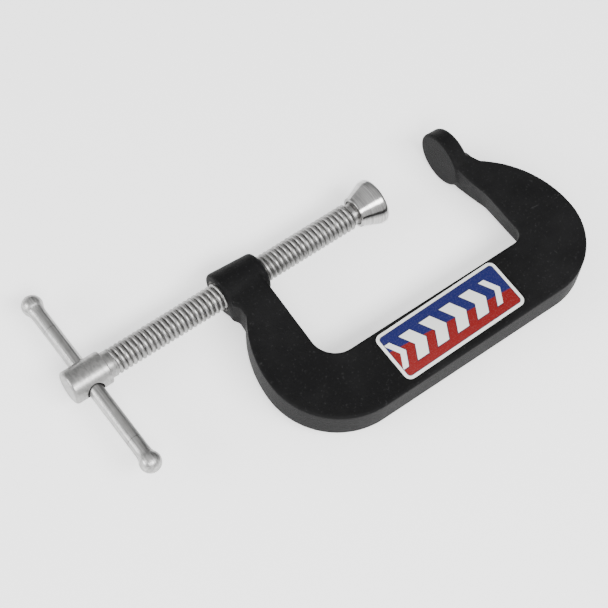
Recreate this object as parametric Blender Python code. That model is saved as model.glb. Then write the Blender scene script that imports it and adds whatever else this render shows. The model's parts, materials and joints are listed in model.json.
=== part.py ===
"""C clamp: a cast frame with its anvil and threaded boss, the clamp screw, its swivel pad,
the sliding T bar and the flat sticker on the frame.

Metres, +Z up. The clamp lies flat: +X runs along the screw from the handle to the anvil,
+Y runs from the spine of the frame to the screw, and Z = 0 is the middle of the plate.
The origin is the centre of the anvil's working face.
"""

import math

import bmesh
import bpy
from mathutils import Matrix, Vector

# Frame
JAW_SPAN = 0.0988
THROAT_DEPTH = 0.0525
PLATE_THICKNESS = 0.0154
SPINE_WIDTH = 0.0284
BOSS_ARM_WIDTH = 0.0252
ANVIL_ARM_WIDTH = 0.0242
ANVIL_ARM_SETBACK = 0.0059
ANVIL_ARM_LEAN = 0.0028
BOSS_NECK_WIDTH = 0.0177
BOSS_NECK_LENGTH = 0.0170
ANVIL_NECK_LENGTH = 0.0195
THROAT_FILLET_BOSS = 0.0110
THROAT_FILLET_ANVIL = 0.0050
CORNER_RADIUS_BOSS = 0.0330
CORNER_RADIUS_ANVIL = 0.0300
SHOULDER_RADIUS_BOSS = 0.0530
SHOULDER_RADIUS_ANVIL = 0.0478
PLATE_EDGE_RADIUS = 0.0012
BLEND_RADIUS = 0.0160

# Anvil
ANVIL_RADIUS = 0.0125
ANVIL_BACK_RADIUS = 0.0121
ANVIL_THICKNESS = 0.0077
ANVIL_EDGE_RADIUS = 0.0010
ANVIL_WEB_LENGTH = 0.0035

# Threaded boss
BOSS_LENGTH = 0.0211
BOSS_OVERHANG = 0.0040
BOSS_RISE = 0.0011
BOSS_WALL = 0.0020
BOSS_FLARE = 0.0013
BOSS_EDGE_RADIUS = 0.0010
BORE_MOUTH_CHAMFER = 0.0008

# Screw
THREAD_DIAMETER = 0.0120
THREAD_PITCH = 0.00225
THREAD_DEPTH = 0.0011
THREAD_CLEARANCE = 0.0003
THREAD_LENGTH = 0.1209
THREAD_RUN_IN = 0.0002
THREAD_RUN_OUT_TURNS = 0.6
NECK_RADIUS = 0.0059
NECK_LENGTH = 0.0027
HEAD_RADIUS = 0.0074
HEAD_LENGTH = 0.0176
HEAD_END_RADIUS = 0.0014
HEAD_SHOULDER_RADIUS = 0.0005
TIP_NECK_RADIUS = 0.0046
BALL_RADIUS = 0.0059

# Swivel pad
JAW_GAP = 0.0341
PAD_LENGTH = 0.0120
PAD_RADIUS = 0.0102
PAD_RIM_LENGTH = 0.0035
PAD_EDGE_RADIUS = 0.0009
PAD_COLLAR_LENGTH = 0.0010
PAD_COLLAR_WALL = 0.0014
PAD_LIP_GRIP = 0.0003
PAD_GAP_TO_THREAD = 0.0022
SOCKET_CLEARANCE = 0.0004

# T bar
BAR_RADIUS = 0.0034
BAR_SPAN = 0.0862
BAR_END_RADIUS = 0.0047
BAR_END_SWELL = 0.0030
BAR_END_SWELL_HEIGHT = 0.0003
BAR_OFFSET = -0.0025
BAR_TURN = math.radians(3.2)
BAR_HOLE_CLEARANCE = 0.0007
BAR_HOLE_FROM_END = 0.0090

# Sticker
LABEL_LENGTH = 0.0622
LABEL_WIDTH = 0.0235
LABEL_CORNER_RADIUS = 0.0030
LABEL_THICKNESS = 0.0003
LABEL_SKEW = math.radians(0.8)
LABEL_SHIFT = -0.0003
LABEL_RISE = 0.0008
SEAT_GAP = 0.0003

# Number of flats on the round shapes
SCREW_SIDES = 20
ROUND_SIDES = 32
ARC_STEP = math.radians(9.0)

# Places along the screw, from the sizes above
PAD_FACE_X = -JAW_GAP
PAD_BACK_X = PAD_FACE_X - PAD_LENGTH
THREAD_ROOT = THREAD_DIAMETER / 2 - THREAD_DEPTH
THREAD_END_X = PAD_BACK_X - PAD_GAP_TO_THREAD
THREAD_START_X = THREAD_END_X - THREAD_LENGTH
SHOULDER_X = THREAD_START_X - NECK_LENGTH
HEAD_END_X = SHOULDER_X - HEAD_LENGTH
BAR_X = HEAD_END_X + BAR_HOLE_FROM_END
SOCKET_RADIUS = BALL_RADIUS + SOCKET_CLEARANCE
LIP_RADIUS = BALL_RADIUS - PAD_LIP_GRIP
BALL_X = PAD_BACK_X + math.sqrt(SOCKET_RADIUS**2 - LIP_RADIUS**2)

# Places in the plane of the frame. The boss stands proud of the plate and walls the thread
BOSS_RADIUS_JAW_END = max(PLATE_THICKNESS / 2 + BOSS_RISE, THREAD_DIAMETER / 2 + BOSS_WALL)
BOSS_RADIUS_OUTER_END = BOSS_RADIUS_JAW_END + BOSS_FLARE
SPINE_INNER_Y = -THROAT_DEPTH
SPINE_OUTER_Y = -THROAT_DEPTH - SPINE_WIDTH
BOSS_ARM_INNER_X = -JAW_SPAN
BOSS_ARM_OUTER_X = -JAW_SPAN - BOSS_ARM_WIDTH
ANVIL_ARM_INNER_X = ANVIL_ARM_SETBACK
ANVIL_ARM_OUTER_X = ANVIL_ARM_SETBACK + ANVIL_ARM_WIDTH
BOSS_JAW_X = BOSS_ARM_INNER_X + BOSS_OVERHANG
BOSS_OUTER_X = BOSS_JAW_X - BOSS_LENGTH


def clear_scene():
    """Remove every object of the scene."""
    for obj in list(bpy.data.objects):
        bpy.data.objects.remove(obj, do_unlink=True)


def make_material(name, colour, roughness, metallic):
    """Return a Principled BSDF material."""
    material = bpy.data.materials.new(name)
    material.use_nodes = True
    shader = material.node_tree.nodes["Principled BSDF"]
    shader.inputs["Base Color"].default_value = (*colour, 1.0)
    shader.inputs["Roughness"].default_value = roughness
    shader.inputs["Metallic"].default_value = metallic
    return material


def powder_coat():
    return make_material("black_powder_coat", (0.020, 0.020, 0.022), 0.55, 0.0)


def plated_steel():
    return make_material("plated_steel", (0.60, 0.59, 0.57), 0.28, 1.0)


def label_film():
    return make_material("label_film", (0.10, 0.14, 0.45), 0.35, 0.0)


def arc(centre, radius, start, end):
    """Points of an arc from angle start to angle end, both included."""
    count = max(2, math.ceil(abs(end - start) / ARC_STEP))
    points = []
    for step in range(count + 1):
        angle = start + (end - start) * step / count
        points.append((centre[0] + radius * math.cos(angle), centre[1] + radius * math.sin(angle)))
    return points


def finish_object(name, mesh_data, material, location=(0.0, 0.0, 0.0), smooth_limit=35.0):
    """Make an object of a bmesh, turn its faces outwards and shade it."""
    bmesh.ops.recalc_face_normals(mesh_data, faces=mesh_data.faces)
    mesh = bpy.data.meshes.new(name)
    mesh_data.to_mesh(mesh)
    mesh_data.free()
    mesh.shade_smooth()
    mesh.set_sharp_from_angle(angle=math.radians(smooth_limit))
    if material:
        mesh.materials.append(material)
    obj = bpy.data.objects.new(name, mesh)
    obj.location = location
    bpy.context.scene.collection.objects.link(obj)
    return obj


def make_helper(name, mesh_data, location=(0.0, 0.0, 0.0)):
    """Make a hidden body that only takes part in a Boolean."""
    obj = finish_object(name, mesh_data, None, location)
    obj.hide_render = True
    obj.display_type = "WIRE"
    return obj


def add_boolean(obj, other, operation):
    modifier = obj.modifiers.new(f"{operation.lower()}_{other.name}", "BOOLEAN")
    modifier.operation = operation
    modifier.solver = "EXACT"
    modifier.object = other


def turned_body(profile, sides):
    """Spin a profile of (x, radius) points, from axis to axis, about the X axis."""
    mesh_data = bmesh.new()
    verts = [mesh_data.verts.new((x, radius, 0.0)) for x, radius in profile]
    edges = [mesh_data.edges.new(pair) for pair in zip(verts, verts[1:])]
    bmesh.ops.spin(
        mesh_data,
        geom=verts + edges,
        cent=(0.0, 0.0, 0.0),
        axis=(1.0, 0.0, 0.0),
        angle=math.tau,
        steps=sides,
        use_duplicate=False,
    )
    bmesh.ops.remove_doubles(mesh_data, verts=mesh_data.verts, dist=1e-6)
    return mesh_data


def prism(outline, bottom, top, top_outline=None):
    """Extrude a closed outline in the XY plane from height bottom to height top.

    A top outline of as many points moves the top's points sideways, for a face that leans.
    """
    mesh_data = bmesh.new()
    verts = [mesh_data.verts.new((x, y, bottom)) for x, y in outline]
    base = mesh_data.faces.new(verts)
    grown = bmesh.ops.extrude_face_region(mesh_data, geom=[base])
    moved = [item for item in grown["geom"] if isinstance(item, bmesh.types.BMVert)]
    bmesh.ops.translate(mesh_data, verts=moved, vec=(0.0, 0.0, top - bottom))
    if top_outline:
        leaning = {point: moved_to for point, moved_to in zip(outline, top_outline)}
        for vert, (x, y) in zip(verts, outline):
            above = [edge.other_vert(vert) for edge in vert.link_edges if edge.other_vert(vert) in moved]
            above[0].co.xy = leaning[(x, y)]
    return mesh_data


def round_rims(mesh_data, radius, segments):
    """Round the edges that run along the flat top and bottom of a prism."""
    heights = [vert.co.z for vert in mesh_data.verts]
    low, high = min(heights), max(heights)
    rims = []
    for edge in mesh_data.edges:
        ends = [vert.co.z for vert in edge.verts]
        if ends in ([low, low], [high, high]):
            rims.append(edge)
    bmesh.ops.bevel(
        mesh_data,
        geom=rims,
        offset=radius,
        offset_type="OFFSET",
        segments=segments,
        profile=0.5,
        affect="EDGES",
    )


def frame_outline(lean):
    """Outline of the C plate, counterclockwise, from the anvil round the throat to the boss.

    Lean moves the inner face of the anvil's arm towards the jaw.
    """
    points = anvil_arm_inside(lean)
    centre = (BOSS_ARM_INNER_X + THROAT_FILLET_BOSS, SPINE_INNER_Y + THROAT_FILLET_BOSS)
    points += arc(centre, THROAT_FILLET_BOSS, -math.pi / 2, -math.pi)
    points += boss_neck()
    centre = (BOSS_ARM_OUTER_X + SHOULDER_RADIUS_BOSS, SPINE_OUTER_Y + CORNER_RADIUS_BOSS)
    start = math.pi - math.asin((-BOSS_NECK_LENGTH - centre[1]) / SHOULDER_RADIUS_BOSS)
    points += arc(centre, SHOULDER_RADIUS_BOSS, start, math.pi)
    centre = (BOSS_ARM_OUTER_X + CORNER_RADIUS_BOSS, SPINE_OUTER_Y + CORNER_RADIUS_BOSS)
    points += arc(centre, CORNER_RADIUS_BOSS, math.pi, 1.5 * math.pi)[1:]
    centre = (ANVIL_ARM_OUTER_X - CORNER_RADIUS_ANVIL, SPINE_OUTER_Y + CORNER_RADIUS_ANVIL)
    points += arc(centre, CORNER_RADIUS_ANVIL, -math.pi / 2, 0.0)
    centre = (ANVIL_ARM_OUTER_X - SHOULDER_RADIUS_ANVIL, centre[1])
    web_x = ANVIL_THICKNESS + ANVIL_WEB_LENGTH
    end = math.acos((web_x - centre[0]) / SHOULDER_RADIUS_ANVIL)
    points += arc(centre, SHOULDER_RADIUS_ANVIL, 0.0, end)[1:]
    points.append((ANVIL_THICKNESS + 0.3 * ANVIL_WEB_LENGTH, -0.6 * ANVIL_RADIUS))
    return points


def anvil_arm_inside(lean):
    """The outline from inside the anvil down its arm and round the throat's fillet."""
    inner = ANVIL_ARM_INNER_X - lean
    behind_face = 0.1 * ANVIL_THICKNESS
    neck_x = (0.35 * ANVIL_ARM_INNER_X + inner) / 2 - lean / 3
    points = [(0.8 * ANVIL_THICKNESS, 0.3 * ANVIL_RADIUS), (behind_face, 0.3 * ANVIL_RADIUS)]
    points.append((2 * behind_face - lean / 3, -ANVIL_RADIUS))
    points.append((0.8 * neck_x, -ANVIL_NECK_LENGTH))
    points.append((0.9 * inner, -1.4 * ANVIL_NECK_LENGTH))
    centre = (inner - THROAT_FILLET_ANVIL, SPINE_INNER_Y + THROAT_FILLET_ANVIL)
    points += arc(centre, THROAT_FILLET_ANVIL, 0.0, -math.pi / 2)
    return points


def boss_neck():
    """The outline where the arm runs up into the boss and down again on the outside."""
    middle = (BOSS_JAW_X + BOSS_OUTER_X) / 2
    inner = BOSS_ARM_INNER_X + BOSS_OVERHANG / 4
    outer = inner - BOSS_NECK_WIDTH
    inside_boss = BOSS_RADIUS_JAW_END / 3
    points = [(inner, -BOSS_RADIUS_JAW_END), (inner, inside_boss), (2 * middle - inner, inside_boss)]
    points.append((outer, -0.95 * BOSS_RADIUS_OUTER_END))
    points.append((outer + 0.1 * BOSS_NECK_WIDTH, -1.25 * BOSS_RADIUS_OUTER_END))
    return points


def blend_outline(radius, reach):
    """Half section of a concave blend from a cylinder round the X axis down to the plate's face.

    The points are (y, z) and the section is closed under the face.
    """
    half = PLATE_THICKNESS / 2
    centre = (-math.sqrt((radius + reach) ** 2 - (half + reach) ** 2), half + reach)
    touch = math.atan2(-centre[1], -centre[0])
    points = arc(centre, reach, -math.pi / 2, touch)
    return points + [(0.0, half), (0.0, 0.0), (centre[0], 0.0)]


def build_blend(name, x_start, x_end, radius):
    """Body of the two concave blends between a cylinder and the plate, one on each face."""
    upper = blend_outline(radius, BLEND_RADIUS)[:-2]
    section = upper + [(y, -z) for y, z in reversed(upper)]
    mesh_data = prism(section, 0.0, x_end - x_start)
    for vert in mesh_data.verts:
        y, z, along = vert.co
        vert.co = (x_start + along, y, z)
    return make_helper(name, mesh_data)


def rounded_rod(start, end, start_radius, end_radius, edge):
    """Profile of a round rod from x = start to x = end with both rims rounded."""
    points = [(start, 0.0)]
    for dx, dr in arc((0.0, 0.0), edge, math.pi, math.pi / 2):
        points.append((start + edge + dx, start_radius - edge + dr))
    for dx, dr in arc((0.0, 0.0), edge, math.pi / 2, 0.0):
        points.append((end - edge + dx, end_radius - edge + dr))
    points.append((end, 0.0))
    return points


def ring(mesh_data, x, radius, sides=SCREW_SIDES):
    """Add a ring of points round the X axis."""
    verts = []
    for step in range(sides):
        angle = math.tau * step / sides
        verts.append(mesh_data.verts.new((x, radius * math.cos(angle), radius * math.sin(angle))))
    return verts


def join_rings(mesh_data, first, second):
    for index, vert in enumerate(first):
        after = (index + 1) % len(first)
        mesh_data.faces.new((vert, first[after], second[after], second[index]))


def helix_line(mesh_data, start_x, first_turn, turns, radius_at, sides=SCREW_SIDES):
    """Add the points of a right-hand helix that climbs one pitch each turn."""
    verts = []
    for step in range(turns * sides + 1):
        turn = step / sides
        angle = math.tau * turn
        x = start_x + THREAD_PITCH * (first_turn + turn)
        radius = radius_at(turn)
        verts.append(mesh_data.verts.new((x, radius * math.cos(angle), radius * math.sin(angle))))
    return verts


def add_thread(mesh_data, start_ring, end_ring, start_x, turns, root, depth):
    """Wind a V thread of whole turns between two rings, fading in and out at its ends."""
    sides = len(start_ring)

    def crest_radius(turn):
        return root + depth * min(1.0, turn / THREAD_RUN_OUT_TURNS, (turns - turn) / THREAD_RUN_OUT_TURNS)

    roots = helix_line(mesh_data, start_x, 0.0, turns + 1, lambda turn: root)
    crests = helix_line(mesh_data, start_x, 0.5, turns, crest_radius)
    for step in range(turns * sides):
        after = step + 1
        mesh_data.faces.new((roots[step], roots[after], crests[after], crests[step]))
        mesh_data.faces.new((crests[step], crests[after], roots[after + sides], roots[step + sides]))
    for side in range(sides - 1):
        mesh_data.faces.new((start_ring[side], start_ring[side + 1], roots[side + 1], roots[side]))
    last = sides - 1
    mesh_data.faces.new((start_ring[last], start_ring[0], roots[0], crests[0], roots[sides], roots[last]))
    base = turns * sides
    last_face = (roots[base], roots[base + 1], end_ring[1], end_ring[0], roots[base + sides], crests[base])
    mesh_data.faces.new(last_face)
    for side in range(1, sides - 1):
        mesh_data.faces.new((roots[base + side], roots[base + side + 1], end_ring[side + 1], end_ring[side]))
    mesh_data.faces.new((roots[base + last], roots[base + sides], end_ring[0], end_ring[last]))


def ball_profile(centre, radius, start_radius):
    """Profile of a ball from the circle where its neck meets it, without the pole."""
    start = math.pi - math.asin(start_radius / radius)
    return [(centre + x, r) for x, r in arc((0.0, 0.0), radius, start, 0.0)][:-1]


def build_frame(material):
    """The casting: C plate, threaded boss and anvil in one piece."""
    half = PLATE_THICKNESS / 2
    plate = prism(frame_outline(0.0), -half, half, frame_outline(ANVIL_ARM_LEAN))
    round_rims(plate, PLATE_EDGE_RADIUS, 2)
    frame = finish_object("frame", plate, material)
    boss = rounded_rod(BOSS_OUTER_X, BOSS_JAW_X, BOSS_RADIUS_OUTER_END, BOSS_RADIUS_JAW_END, BOSS_EDGE_RADIUS)
    add_boolean(frame, make_helper("boss_body", turned_body(boss, ROUND_SIDES)), "UNION")
    blend_end = BOSS_ARM_INNER_X
    blend_start = blend_end - 0.9 * BOSS_NECK_WIDTH
    add_boolean(frame, build_blend("boss_blend", blend_start, blend_end, BOSS_RADIUS_JAW_END), "UNION")
    anvil = rounded_rod(0.0, ANVIL_THICKNESS, ANVIL_RADIUS, ANVIL_BACK_RADIUS, ANVIL_EDGE_RADIUS)
    add_boolean(frame, make_helper("anvil_body", turned_body(anvil, ROUND_SIDES)), "UNION")
    add_boolean(frame, make_helper("thread_cutter", thread_cutter()), "DIFFERENCE")
    for name, face_x, inward in (("mouth_outer", BOSS_OUTER_X, 1.0), ("mouth_jaw", BOSS_JAW_X, -1.0)):
        mouth = turned_body(mouth_profile(face_x, inward), ROUND_SIDES)
        add_boolean(frame, make_helper(name, mouth), "DIFFERENCE")
    return frame


def mouth_profile(face_x, inward):
    """Profile of the countersink at one end of the threaded bore."""
    bore = THREAD_ROOT + THREAD_CLEARANCE
    mouth = THREAD_DIAMETER / 2 + THREAD_CLEARANCE + BORE_MOUTH_CHAMFER
    depth = mouth - bore
    outside = face_x - inward * depth
    inside = face_x + inward * (depth + THREAD_DEPTH)
    return [(outside, 0.0), (outside, mouth + depth), (inside, bore - THREAD_DEPTH), (inside, 0.0)]


def thread_cutter():
    """The body that cuts the boss's thread, in phase with the screw at rest."""
    spare = 2
    skipped = math.floor((BOSS_OUTER_X - THREAD_START_X) / THREAD_PITCH) - spare
    start_x = THREAD_START_X + skipped * THREAD_PITCH
    turns = math.ceil(BOSS_LENGTH / THREAD_PITCH) + 2 * spare
    root = THREAD_ROOT + THREAD_CLEARANCE
    mesh_data = bmesh.new()
    start_ring = ring(mesh_data, start_x - THREAD_PITCH, root)
    end_ring = ring(mesh_data, start_x + (turns + 2) * THREAD_PITCH, root)
    add_thread(mesh_data, start_ring, end_ring, start_x, turns, root, THREAD_DEPTH)
    mesh_data.faces.new(start_ring)
    mesh_data.faces.new(end_ring)
    return mesh_data


def build_screw(material):
    """The screw: head with its cross hole, neck, rolled thread and ball tip in one piece."""
    mesh_data = bmesh.new()
    head = rounded_rod(HEAD_END_X, SHOULDER_X, HEAD_RADIUS, HEAD_RADIUS, HEAD_SHOULDER_RADIUS)
    head_end = [(HEAD_END_X + HEAD_END_RADIUS + dx, HEAD_RADIUS - HEAD_END_RADIUS + dr)
                for dx, dr in arc((0.0, 0.0), HEAD_END_RADIUS, math.pi, math.pi / 2)]
    shoulder = [point for point in head if point[0] > (HEAD_END_X + SHOULDER_X) / 2][:-1]
    lower = head_end + shoulder + [(SHOULDER_X, NECK_RADIUS), (THREAD_START_X - THREAD_RUN_IN, NECK_RADIUS)]
    lower.append((THREAD_START_X, THREAD_ROOT))
    upper = [(THREAD_END_X, THREAD_ROOT), (THREAD_END_X + THREAD_RUN_IN, TIP_NECK_RADIUS)]
    upper += ball_profile(BALL_X, BALL_RADIUS, TIP_NECK_RADIUS)
    rings = []
    for profile in (lower, upper):
        rows = [ring(mesh_data, x, radius) for x, radius in profile]
        for first, second in zip(rows, rows[1:]):
            join_rings(mesh_data, first, second)
        rings.append(rows)
    turns = math.floor(THREAD_LENGTH / THREAD_PITCH) - 1
    add_thread(mesh_data, rings[0][-1], rings[1][0], THREAD_START_X, turns, THREAD_ROOT, THREAD_DEPTH)
    mesh_data.faces.new(rings[0][0])
    mesh_data.faces.new(rings[1][-1])
    bmesh.ops.translate(mesh_data, verts=mesh_data.verts, vec=(-BAR_X, 0.0, 0.0))
    screw = finish_object("screw", mesh_data, material, (BAR_X, 0.0, 0.0))
    reach = 1.3 * HEAD_RADIUS
    radius = BAR_RADIUS + BAR_HOLE_CLEARANCE
    hole = turned_body([(-reach, 0.0), (-reach, radius), (reach, radius), (reach, 0.0)], ROUND_SIDES)
    bmesh.ops.transform(hole, matrix=bar_rotation(), verts=hole.verts)
    add_boolean(screw, make_helper("cross_hole", hole, (BAR_X, 0.0, 0.0)), "DIFFERENCE")
    return screw


def bar_rotation():
    """Turn the X axis onto the T bar's axis, which lies across the screw."""
    along = Vector((0.0, math.cos(BAR_TURN), -math.sin(BAR_TURN)))
    return along.to_track_quat("X", "Z").to_matrix().to_4x4()


def build_bar(material):
    """The sliding T bar: a drawn rod whose two ends are upset into balls."""
    half = BAR_SPAN / 2
    swell = half - BAR_END_SWELL - BAR_END_RADIUS
    neck = BAR_RADIUS + BAR_END_SWELL_HEIGHT
    profile = [(swell, BAR_RADIUS), (half - math.sqrt(BAR_END_RADIUS**2 - neck**2), neck)]
    start = math.pi - math.asin(neck / BAR_END_RADIUS)
    profile += [(half + x, r) for x, r in arc((0.0, 0.0), BAR_END_RADIUS, start, 0.0)][1:-1]
    profile.append((half + BAR_END_RADIUS, 0.0))
    mirrored = [(-x, radius) for x, radius in reversed(profile)]
    mesh_data = turned_body(mirrored + profile, ROUND_SIDES // 2)
    bmesh.ops.translate(mesh_data, verts=mesh_data.verts, vec=(BAR_OFFSET, 0.0, 0.0))
    bmesh.ops.transform(mesh_data, matrix=bar_rotation(), verts=mesh_data.verts)
    return finish_object("t_bar", mesh_data, material, (BAR_X, 0.0, 0.0))


def build_pad(material):
    """The swivel pad: a cone crimped over the screw's ball, with its socket open behind."""
    collar = LIP_RADIUS + PAD_COLLAR_WALL
    cone_end = PAD_FACE_X - PAD_RIM_LENGTH
    outer = [(PAD_BACK_X, collar), (PAD_BACK_X + PAD_COLLAR_LENGTH, collar), (cone_end, PAD_RADIUS)]
    for dx, dr in arc((0.0, 0.0), PAD_EDGE_RADIUS, math.pi / 2, 0.0):
        outer.append((PAD_FACE_X - PAD_EDGE_RADIUS + dx, PAD_RADIUS - PAD_EDGE_RADIUS + dr))
    outer.append((PAD_FACE_X, 0.0))
    socket = ball_profile(BALL_X, SOCKET_RADIUS, LIP_RADIUS)
    socket.append((BALL_X + SOCKET_RADIUS, 0.0))
    mesh_data = turned_body(list(reversed(socket)) + outer, ROUND_SIDES)
    bmesh.ops.translate(mesh_data, verts=mesh_data.verts, vec=(-BALL_X, 0.0, 0.0))
    return finish_object("swivel_pad", mesh_data, material, (BALL_X, 0.0, 0.0))


def build_label(material):
    """The sticker on the spine, a thin rounded rectangle just above the plate."""
    half_length = LABEL_LENGTH / 2 - LABEL_CORNER_RADIUS
    half_width = LABEL_WIDTH / 2 - LABEL_CORNER_RADIUS
    outline = []
    for quarter, (side_x, side_y) in enumerate(((1, 1), (-1, 1), (-1, -1), (1, -1))):
        centre = (side_x * half_length, side_y * half_width)
        outline += arc(centre, LABEL_CORNER_RADIUS, quarter * math.pi / 2, (quarter + 1) * math.pi / 2)
    mesh_data = prism(outline, 0.0, LABEL_THICKNESS)
    bmesh.ops.transform(mesh_data, matrix=Matrix.Rotation(LABEL_SKEW, 4, "Z"), verts=mesh_data.verts)
    middle_x = (BOSS_ARM_INNER_X + ANVIL_ARM_INNER_X) / 2 + LABEL_SHIFT
    middle_y = (SPINE_INNER_Y + SPINE_OUTER_Y) / 2 + LABEL_RISE
    return finish_object("label", mesh_data, material, (middle_x, middle_y, PLATE_THICKNESS / 2 + SEAT_GAP))


def main():
    clear_scene()
    coat = powder_coat()
    steel = plated_steel()
    film = label_film()
    frame = build_frame(coat)
    screw = build_screw(steel)
    bar = build_bar(steel)
    pad = build_pad(steel)
    label = build_label(film)
    bpy.context.view_layer.update()
    for child, parent in ((screw, frame), (pad, frame), (label, frame), (bar, screw)):
        child.parent = parent
        child.matrix_parent_inverse = parent.matrix_world.inverted()


if __name__ == "__main__":
    main()
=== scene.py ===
"""Looks of the C clamp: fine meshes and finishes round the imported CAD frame.

Units are metres. +X runs along the screw from the handle to the anvil, +Y runs from the spine of
the frame to the screw, and +Z is the face of the plate that carries the label. The origin is the
centre of the anvil's working face. Each piece stands for one CAD node and rides on its body.
"""

import json
import logging
import math
from dataclasses import dataclass
from enum import Enum
from typing import Any, Callable, Iterable, Sequence

import bpy
from mathutils import Matrix, Vector


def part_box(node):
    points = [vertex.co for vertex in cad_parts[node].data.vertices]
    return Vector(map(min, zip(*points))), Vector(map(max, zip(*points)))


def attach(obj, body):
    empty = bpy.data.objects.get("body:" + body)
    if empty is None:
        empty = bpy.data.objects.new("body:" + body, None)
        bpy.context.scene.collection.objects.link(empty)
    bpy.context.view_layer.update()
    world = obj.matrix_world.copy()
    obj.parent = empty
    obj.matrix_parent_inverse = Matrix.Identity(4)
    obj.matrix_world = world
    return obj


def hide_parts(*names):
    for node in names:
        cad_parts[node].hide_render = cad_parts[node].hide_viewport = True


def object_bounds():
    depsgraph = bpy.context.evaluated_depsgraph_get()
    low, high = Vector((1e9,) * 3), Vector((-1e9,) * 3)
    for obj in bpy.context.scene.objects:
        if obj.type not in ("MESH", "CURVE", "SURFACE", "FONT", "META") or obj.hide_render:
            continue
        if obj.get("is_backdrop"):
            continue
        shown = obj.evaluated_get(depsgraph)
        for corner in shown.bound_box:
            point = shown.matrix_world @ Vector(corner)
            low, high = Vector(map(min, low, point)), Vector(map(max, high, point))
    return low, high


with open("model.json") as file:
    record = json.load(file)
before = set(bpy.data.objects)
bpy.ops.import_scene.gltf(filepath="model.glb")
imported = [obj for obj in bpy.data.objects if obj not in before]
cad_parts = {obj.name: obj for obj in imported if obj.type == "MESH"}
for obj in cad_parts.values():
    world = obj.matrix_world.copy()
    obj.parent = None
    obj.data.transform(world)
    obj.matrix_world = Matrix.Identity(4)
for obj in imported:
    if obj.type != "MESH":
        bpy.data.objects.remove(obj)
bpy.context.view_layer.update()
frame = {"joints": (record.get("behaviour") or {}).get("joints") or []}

LOG = logging.getLogger("clamp")
MM = 0.001
SEAM_WIDTH = 0.06
Point2 = tuple[float, float]
Colour = tuple[float, float, float]


class Body(Enum):
    """Moving bodies of the clamp."""

    FRAME = "frame_body"
    PAD = "pad_body"
    SCREW = "screw_body"
    BAR = "bar_body"


class Cut(Enum):
    """Ways in which one solid changes another."""

    JOIN = "UNION"
    REMOVE = "DIFFERENCE"
    KEEP_COMMON = "INTERSECT"


# ---------------------------------------------------------------- outlines


def arc(centre: Point2, radius: float, start: float, end: float, step: float = 6.0) -> list[Point2]:
    """Walk along an arc.

    Args:
        centre: Centre of the arc.
        radius: Its radius.
        start: First angle in degrees.
        end: Last angle in degrees, less than start to walk clockwise.
        step: Largest angle between two points, in degrees.

    Returns:
        The points, both ends included.
    """
    count = max(2, math.ceil(abs(end - start) / step))
    angles = [math.radians(start + (end - start) * index / count) for index in range(count + 1)]
    return [(centre[0] + radius * math.cos(a), centre[1] + radius * math.sin(a)) for a in angles]


def rounded(corners: Sequence[tuple[float, float, float]], step: float = 12.0) -> list[Point2]:
    """Round the corners of an open chain of lines.

    Args:
        corners: Each corner's two coordinates and its radius, zero for a sharp one.
        step: Largest angle between two points of a rounding, in degrees.

    Returns:
        The points of the rounded chain.
    """
    points: list[Point2] = [corners[0][:2]]
    for before, here, after in zip(corners, corners[1:], corners[2:]):
        corner = Vector(here[:2])
        back = (Vector(before[:2]) - corner).normalized()
        ahead = (Vector(after[:2]) - corner).normalized()
        opening = back.angle(ahead)
        if here[2] <= 0 or opening > math.radians(179):
            points.append(here[:2])
            continue
        reach = here[2] / math.tan(opening / 2)
        centre = corner + (back + ahead).normalized() * (here[2] / math.sin(opening / 2))
        first = corner + back * reach - centre
        turn = first.angle_signed(corner + ahead * reach - centre)
        count = max(2, math.ceil(math.degrees(abs(turn)) / step))
        for index in range(count + 1):
            spoke = Matrix.Rotation(-turn * index / count, 2) @ first
            points.append(tuple(centre + spoke))
    points.append(corners[-1][:2])
    return points


# ---------------------------------------------------------------- modelling


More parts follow.
